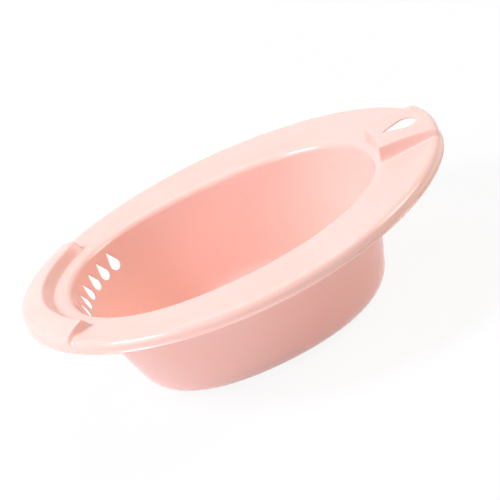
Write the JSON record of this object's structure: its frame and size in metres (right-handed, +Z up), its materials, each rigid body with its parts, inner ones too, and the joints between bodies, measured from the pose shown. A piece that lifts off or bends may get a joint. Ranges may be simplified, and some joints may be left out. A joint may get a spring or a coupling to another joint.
{
  "type": "baby bath basin",
  "caption": "Oval bath basin moulded in one piece: wide sloping rim, raised guard and drop-shaped overflow holes in front, hanging slot at the back.",
  "frame": {"origin": "centre of the whole basin's footprint, on the surface it stands on", "axes": "+X along the length from the guarded front to the hanging tab, +Y across the width, +Z up"},
  "size_m": [0.4, 0.33, 0.1291],
  "materials": {
    "shell": "glossy, pale pink polypropylene, coloured through"
  },
  "bodies": {
    "root": {"bowl_floor": "shell", "front_floor_corner": "shell", "back_floor_corner": "shell", "front_wall_corner": "shell", "back_wall_corner": "shell", "front_wall": "shell", "back_wall": "shell", "rolled_edge": "shell", "rim_flange": "shell", "front_skirt": "shell", "back_skirt": "shell", "skirt_bead": "shell", "front_guard": "shell", "hanging_tab": "shell"}
  },
  "joints": []
}
